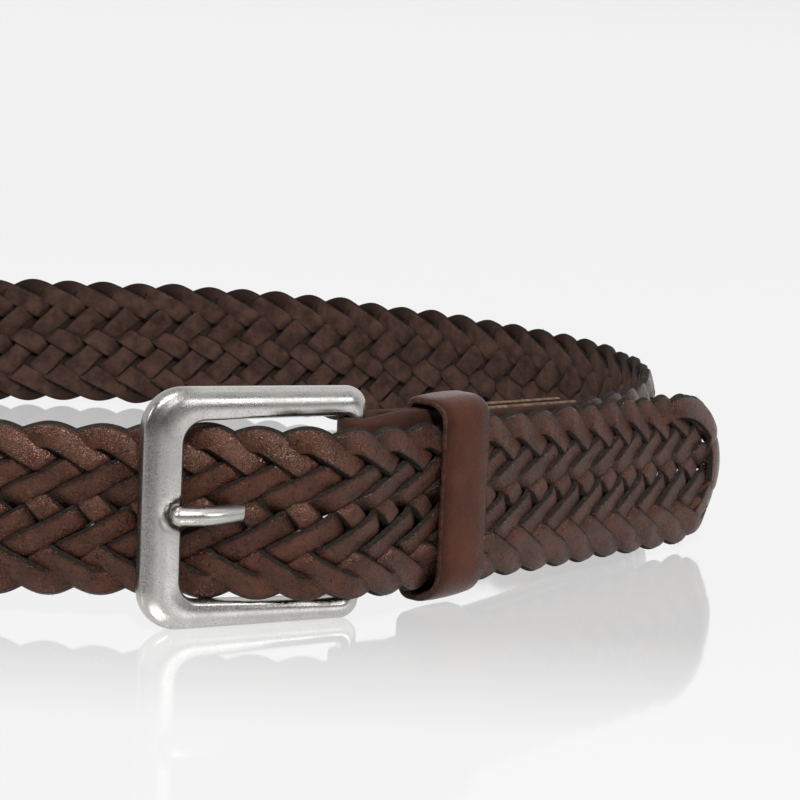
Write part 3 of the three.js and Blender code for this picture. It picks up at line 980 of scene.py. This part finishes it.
def buckle_frame():
    heel_x = BUCKLE_LENGTH - HEEL_CORNER
    heel_top = FRAME_TOP - (BUCKLE_HEIGHT - HEEL_HEIGHT)
    window = (FACE_WIDTH + WINDOW_CORNER, BUCKLE_LENGTH - HEEL_BAR - HEEL_WINDOW_CORNER)
    window_top = FRAME_TOP - TOP_ARM_HEIGHT
    heel_window_top = heel_top - TOP_ARM_TIP_HEIGHT
    # Each corner's arcs, outer and inner: middle and radius
    corners = [
        (
            (OUTER_CORNER, OUTER_CORNER, OUTER_CORNER),
            (window[0], ARM_HEIGHT + WINDOW_CORNER, WINDOW_CORNER),
        ),
        (
            (heel_x, HEEL_CORNER, HEEL_CORNER),
            (window[1], ARM_TIP_HEIGHT + HEEL_WINDOW_CORNER, HEEL_WINDOW_CORNER),
        ),
        (
            (heel_x, heel_top - HEEL_CORNER, HEEL_CORNER),
            (window[1], heel_window_top - HEEL_WINDOW_CORNER, HEEL_WINDOW_CORNER),
        ),
        (
            (OUTER_CORNER, FRAME_TOP - OUTER_CORNER, OUTER_CORNER),
            (window[0], window_top - WINDOW_CORNER, WINDOW_CORNER),
        ),
    ]
    thickness = [BAR_THICKNESS, ARM_THICKNESS, HEEL_BAR, ARM_THICKNESS, BAR_THICKNESS]
    outline = []
    for n, (outer, inner) in enumerate(corners):
        for share in np.linspace(0, 1, ARC_STEPS + 1):
            turn = direction(math.radians(180 + 90 * (n + share)))
            out = np.array(outer[:2]) + outer[2] * turn
            inn = np.array(inner[:2]) + inner[2] * turn
            half = (thickness[n] + (thickness[n + 1] - thickness[n]) * share) / 2
            outline.append((*out, *inn, half))
    rows = filled(np.array(outline), 1.0, closed=True)
    out, inn, half = rows[:, None, 0:2], rows[:, None, 2:4], rows[:, 4]
    breadth = np.linalg.norm(rows[:, 2:4] - rows[:, 0:2], axis=1)
    section = np.array([bar_section(a, 2 * b) for a, b in zip(breadth, half)])
    spot = out + (inn - out) * (section[..., 0] / breadth[:, None])[..., None]
    front = section[..., 1]
    # Seat for the prong's tip, worn into the inner side of the outer bar
    middle = np.array([PRONG_TIP - GAP + NOTCH_RADIUS, prong_middle])
    distance = np.hypot(spot[..., 0] - middle[0], spot[..., 1] - middle[1])
    seat = PRONG_REST - PRONG_DIAMETER / 2 - GAP
    sink = 1 - smoothstep(distance, NOTCH_RADIUS - NOTCH_FADE[0], NOTCH_RADIUS + NOTCH_FADE[1])
    front = np.where(front > seat, front + (seat - front) * sink, front)
    rings = in_buckle(spot[..., 0], spot[..., 1], front)
    piece = skin("buckle_frame_metal", rings, [metal], closed=True, sharp=180)
    # Where to paint dark reflections: on the outer bar's bevelled side, and in a band along each
    # arm
    share = section[..., 0] / breadth[:, None]
    near, far = DARK_REFLECTION_ARM_FADE
    on_bar = 1 - smoothstep(spot[..., 0], *DARK_REFLECTION_BAR_FADE)
    on_top = smoothstep(spot[..., 1], FRAME_TOP - far, FRAME_TOP - near)
    on_foot = 1 - smoothstep(spot[..., 1], near, far)
    painted_dark_reflection = on_bar * (1 - on_foot) * (1 - smoothstep(share, *DARK_REFLECTION_BEVEL_FADE))
    painted_dark_reflection = np.maximum(painted_dark_reflection, on_top * streak(share, *TOP_DARK_BAND))
    painted_dark_reflection = np.maximum(painted_dark_reflection, on_foot * streak(share, *FOOT_DARK_BAND))
    mark(piece, "painted_dark_reflection", painted_dark_reflection)
    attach(piece, "root")
    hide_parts("buckle_frame")


def spline(points, count):
    """Catmull-Rom through points, at even distances."""
    points = np.array(points, float)
    padded = np.concatenate([[2 * points[0] - points[1]], points, [2 * points[-1] - points[-2]]])
    fine = []
    for a, b, c, d in zip(padded, padded[1:], padded[2:], padded[3:]):
        t = np.linspace(0, 1, 60, endpoint=False)[:, None]
        bend = (2 * a - 5 * b + 4 * c - d) * t**2 + (3 * b - a - 3 * c + d) * t**3
        fine.append(b + ((c - a) * t + bend) / 2)
    fine = np.concatenate([*fine, points[-1:]])
    run = np.concatenate([[0], np.cumsum(np.linalg.norm(np.diff(fine, axis=0), axis=1))])
    at = np.linspace(0, run[-1], count)
    return np.stack([np.interp(at, run, fine[:, k]) for k in range(points.shape[1])], axis=1), at


def tube(name, points, radii):
    """A round, nearly level rod along points, its radius given at each."""
    tangent = np.gradient(points, axis=0)
    tangent /= np.linalg.norm(tangent, axis=1, keepdims=True)
    side = np.cross(tangent, [0.0, 0.0, 1.0])
    side /= np.linalg.norm(side, axis=1, keepdims=True)
    lift = np.cross(side, tangent)
    angle = np.arange(PRONG_SIDES) * 2 * math.pi / PRONG_SIDES
    ring = (
        side[:, None, :] * np.cos(angle)[None, :, None]
        + lift[:, None, :] * np.sin(angle)[None, :, None]
    )
    return skin(name, points[:, None, :] + ring * radii[:, None, None], [metal], sharp=180)


def prong():
    bore = HEEL_BAR / 2 + GAP
    knots = [(heel_across - bore - EYE_WALL / 2, 0.0)]
    knots += [(PRONG_TIP + a * (heel_across - PRONG_TIP), b * PRONG_BOW) for a, b in PRONG_TABLE]
    knots.append((PRONG_TIP, PRONG_REST))
    line, at = spline(knots, PRONG_RINGS)
    radii = (PRONG_NECK + (PRONG_DIAMETER - PRONG_NECK) * at / at[-1]) / 2
    into = np.clip((at - (at[-1] - PRONG_DIAMETER / 2)) / (PRONG_DIAMETER / 2), 0, 0.995)
    radii = radii * np.sqrt(1 - into**2)
    rod = tube("prong_rod", in_buckle(line[:, 0], prong_middle, line[:, 1]), radii)
    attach(rod, "root")
    # The eye's section: share of its wall from the bore, share of its half height
    profile = [(0, -0.8), (0.2, -1), (0.8, -1), (1, -0.8), (1, 0.8), (0.8, 1), (0.2, 1), (0, 0.8)]
    wall, rise = np.array(profile).T
    angle = np.arange(EYE_SIDES)[:, None] * 2 * math.pi / EYE_SIDES
    radius = bore + EYE_WALL * wall
    x, y = HEEL[0] + radius * np.cos(angle), HEEL[1] + radius * np.sin(angle)
    rings = np.stack([x, y, prong_middle + PRONG_NECK / 2 * rise + 0 * x], axis=-1)
    eye = skin("prong_eye", rings, [metal], closed=True, sharp=60)
    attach(eye, "root")
    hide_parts("prong")


buckle_frame()
prong()


def keeper():
    """Leather band with its corners rounded, its outside a little crowned."""
    # Where its sides meet, radius, first angle of the arc, and the way to the arc's middle
    corners = [
        (keeper_back, KEEPER_LIFT, KEEPER_BACK_CORNER, -90, -1, 1),
        (keeper_back, KEEPER_LIFT + KEEPER_HEIGHT, KEEPER_BACK_CORNER, 0, -1, -1),
        (keeper_front, KEEPER_LIFT + KEEPER_HEIGHT, KEEPER_FRONT_CORNER, 90, 1, -1),
        (keeper_front, KEEPER_LIFT, KEEPER_LOW_CORNER, 180, 1, 1),
    ]
    path = []
    for x, z, radius, start, side_x, side_z in corners:
        for k in range(ARC_STEPS + 1):
            turn = direction(math.radians(start + 90 * k / ARC_STEPS))
            centre = np.array([x + side_x * radius, z + side_z * radius])
            path.append((*(centre + radius * turn), *turn))
    rows = filled(np.array(path), 1.2, closed=True)
    half = KEEPER_DRESSED_WIDTH / 2
    # Along the belt from the keeper's middle, and out from its outer side
    right = [(0.5 * half, 0.2), (half - 0.6, 0.0), (half - 0.12, -0.22), (half + 0.05, -0.5)]
    right += [(half, 0.15 - KEEPER_WALL)]
    under = [(half - 0.2, -KEEPER_WALL), (0.2 - half, -KEEPER_WALL)]
    section = [*((-a, b) for a, b in right[::-1]), (0, 0.26), *right, *under]
    section = np.array(section)
    back = rows[:, None, 0] + rows[:, None, 2] * section[None, :, 1]
    height = rows[:, None, 1] + rows[:, None, 3] * section[None, :, 1]
    along = KEEPER_DRESSED_START + half + section[None, :, 0]
    rings = np.concatenate([on_tab(along, back), height[..., None]], axis=-1)
    bands = np.array([1, 1, 0, 0, 0, 0, 0, 0, 1, 1, 1, 2, 1])
    piece = skin(
        "keeper_leather",
        rings,
        [keeper_face, keeper_edge, bare_flesh],
        bands=bands,
        around=np.clip(section[:, 0] / half, -1, 1),
        along=distance_along(rows[:, 0], rows[:, 1]),
        closed=True,
    )
    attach(piece, "root")
    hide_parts("keeper_loop")


keeper()


def tab():
    """Leaf folded round the heel bar, from the front leaf's end to the back leaf's end."""
    fold = [
        (leaf_at_bar * math.cos(a), leaf_at_bar * math.sin(a), LEAF)
        for a in np.linspace(-math.pi / 2, -1.5 * math.pi, 13)
    ]
    # Along the tab, back of its middle, thickness
    rows = [
        (TAB_LENGTH, -leaf_at_bar, LEAF_TIP),
        (SEWN_START, -leaf_at_bar, LEAF),
        (TAB_NECK_RUN, -leaf_at_bar, LEAF),
        *fold,
        (0.45 * TAB_NECK_RUN, 0.72 * leaf_at_bar, LEAF),
        (1.2 * TAB_NECK_RUN, back_leaf_closed, LEAF),
        (KEEPER_START + KEEPER_WIDTH, back_leaf_closed, LEAF),
        (SEWN_START - GAP, back_leaf_open, LEAF),
        (TAB_LENGTH, back_leaf_open, LEAF_TIP),
    ]
    rows = filled(np.array(rows), 1.5)
    along, back, thickness = rows.T
    step = np.gradient(rows[:, :2], axis=0)
    angle = np.arctan2(step[:, 1], step[:, 0])
    neck = smoothstep(along, 0, TAB_NECK_RUN)
    width = TAB_NECK_WIDTH + (TAB_WIDTH - TAB_NECK_WIDTH) * neck
    strap_middle = route.at(np.maximum(0, along - SEWN_START))[3] + STRAP_WIDTH / 2
    sewn = smoothstep(along, TAB_NECK_RUN, SEWN_START)
    middle = HEEL_HEIGHT / 2 + (strap_middle - HEEL_HEIGHT / 2) * sewn
    # Side of the leaf's thickness, +1 for its outside, and share of its half width
    section = [(-1, -0.985), (-0.5, -1), (0.6, -1), (1, -0.98)]
    section += [(1, s) for s in (-0.9, -0.45, 0, 0.45, 0.9)]
    section += [(1, 0.98), (0.6, 1), (-0.5, 1), (-1, 0.985)]
    section += [(-1, s) for s in (0.45, 0, -0.45)]
    section = np.array(section)
    normal = np.stack([-np.sin(angle), np.cos(angle)], axis=-1)
    off = section[None, :, 0] * thickness[:, None] / 2
    place_along = along[:, None] + normal[:, None, 0] * off
    place_back = back[:, None] + normal[:, None, 1] * off
    height = middle[:, None] + section[None, :, 1] * width[:, None] / 2
    rings = np.concatenate([on_tab(place_along, place_back), height[..., None]], axis=-1)
    bands = np.array([1, 1, 1, 0, 0, 0, 0, 0, 0, 1, 1, 1, 2, 2, 2, 2])
    # From the middle of the keeper on, its cut edges aren't dyed
    bare = (along > KEEPER_START + KEEPER_WIDTH / 2)[:-1, None] & (bands == 1)[None, :]
    bands = np.where(bare, 3, bands[None, :])
    piece = skin(
        "tab_leather",
        rings,
        [tab_face, fold_edge, bare_flesh, tan_edge],
        bands=bands,
        around=section[:, 1] * 0.95,
        along=distance_along(along, back),
        sharp=45,
    )
    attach(piece, "root")
    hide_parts("buckle_tab")


tab()

# Floor, light and camera, in metres. The floor is bright and glossy out to TABLE_EDGE, and darker
# beyond it, in front of the belt and outside the camera's view.
FLOOR_REACH = 40.0
TABLE_EDGE = -0.24
TABLE_FADE = 0.07
TABLE_SHINE = (0.832, 0.832, 0.832)
TABLE_PAINT = (0.06, 0.06, 0.06)
DARK_SHINE = (0.3, 0.3, 0.3)
DARK_PAINT = (0.03, 0.03, 0.03)
FLOOR_IOR = 1.42
FLOOR_POLISH = 0.08
POLISH_FADE = (-0.19, -0.115)
POLISH_BEYOND = 0.15
floor_mesh = bpy.data.meshes.new("floor")
floor_mesh.from_pydata(
    [(x * FLOOR_REACH, y * FLOOR_REACH, 0) for x, y in ((-1, -1), (1, -1), (1, 1), (-1, 1))],
    [],
    [(0, 1, 2, 3)],
)
floor_look = Shader("floor")
gloss_noise = floor_look.noise(floor_look.position(), 30, 2, 0.5)
rough = floor_look.remap(gloss_noise, 0.3, 0.7, 0.05, 0.08)
reach = floor_look.node("ShaderNodeSeparateXYZ", {0: floor_look.position()}).outputs[1]
table = floor_look.remap(reach, TABLE_EDGE - TABLE_FADE, TABLE_EDGE)
shine = floor_look.mix(table, DARK_SHINE, TABLE_SHINE)
paint = floor_look.mix(table, DARK_PAINT, TABLE_PAINT)
lit = floor_look.node("ShaderNodeBsdfDiffuse", {"Color": paint})
glow = floor_look.node("ShaderNodeEmission", {"Color": shine, "Strength": 1.0})
matte = floor_look.node("ShaderNodeAddShader", {0: lit.outputs[0], 1: glow.outputs[0]})
mirror = floor_look.node("ShaderNodeBsdfGlossy", {"Color": (1, 1, 1, 1), "Roughness": rough})
fresnel = floor_look.node("ShaderNodeFresnel", {"IOR": FLOOR_IOR}).outputs[0]
faded = floor_look.remap(reach, *POLISH_FADE, POLISH_BEYOND, 1.0)
polish = floor_look.math("MULTIPLY", floor_look.math("ADD", fresnel, FLOOR_POLISH), faded)
blend = floor_look.node(
    "ShaderNodeMixShader", {0: polish, 1: matte.outputs[0], 2: mirror.outputs[0]}
)
output = floor_look.tree.nodes["Material Output"]
floor_look.tree.links.new(blend.outputs[0], output.inputs["Surface"])
floor_mesh.materials.append(floor_look.material)
floor = link("floor", floor_mesh)

world = bpy.data.worlds.new("studio")
bpy.context.scene.world = world
world.use_nodes = True
sky = Nodes(world.node_tree)

# Bright all round but for the dim side of the studio, where the photographer stands
STUDIO_BRIGHT = (0.885, 0.885, 0.89)
STUDIO_DIM = (0.035, 0.034, 0.033)
DIM_FROM_SIDE = (-0.05, -0.4)
DIM_FROM_CEILING = (0.86, 0.66)
around_us = sky.node("ShaderNodeTexCoord").outputs["Generated"]
heading = sky.node("ShaderNodeSeparateXYZ", {0: around_us}).outputs
smooth = {"interpolation_type": "SMOOTHSTEP"}
towards_us = sky.remap(heading["Y"], *DIM_FROM_SIDE, **smooth)
below_ceiling = sky.remap(heading["Z"], *DIM_FROM_CEILING, **smooth)
dim = sky.math("MULTIPLY", towards_us, below_ceiling)
background = sky.tree.nodes["Background"]
sky.put(background.inputs["Color"], sky.mix(dim, STUDIO_BRIGHT, STUDIO_DIM))
sky.put(background.inputs["Strength"], 1.0)


def soft_light(name, place, aim, size, power):
    data = bpy.data.lights.new(name, "AREA")
    data.shape = "RECTANGLE"
    data.size, data.size_y = size
    data.energy = power
    lamp = link(name, data)
    lamp.location = place
    lamp.rotation_euler = (Vector(aim) - Vector(place)).to_track_quat("-Z", "Y").to_euler()


buckle_middle = (HEEL[0] * MM - 0.04, HEEL[1] * MM, 0.025)
soft_light("key", (0.15, -0.95, 0.85), buckle_middle, size=(0.24, 0.14), power=15.0)
soft_light("side", (-0.85, -0.75, 0.6), buckle_middle, size=(0.3, 0.4), power=4.0)
soft_light("fill", (0.95, -0.8, 0.5), buckle_middle, size=(0.4, 0.5), power=3.0)

# The camera's place from the heel bar, in millimetres
CAMERA_OFFSET = (8.6, -538.0, 133.7)
CAMERA_PITCH = math.radians(9.38)
CAMERA_ROLL = math.radians(2.58)
FOCAL_PIXELS = 2738.0
FRAME_PIXELS = 800
camera_data = bpy.data.cameras.new("camera")
camera_data.sensor_width = 36.0
camera_data.lens = FOCAL_PIXELS * camera_data.sensor_width / FRAME_PIXELS
camera_data.clip_start = 0.01
camera_data.clip_end = 200
camera = link("camera", camera_data)
forward = Vector((0, math.cos(CAMERA_PITCH), -math.sin(CAMERA_PITCH)))
level_up = Vector((0, math.sin(CAMERA_PITCH), math.cos(CAMERA_PITCH)))
level_right = Vector((1, 0, 0))
right = level_right * math.cos(CAMERA_ROLL) + level_up * math.sin(CAMERA_ROLL)
upward = level_up * math.cos(CAMERA_ROLL) - level_right * math.sin(CAMERA_ROLL)
stand = Matrix((right, upward, -forward)).transposed().to_4x4()
stand.translation = Vector((*HEEL, 0.0)) * MM + Vector(CAMERA_OFFSET) * MM
camera.matrix_world = stand
bpy.context.scene.camera = camera
bpy.context.scene.view_settings.view_transform = "Standard"
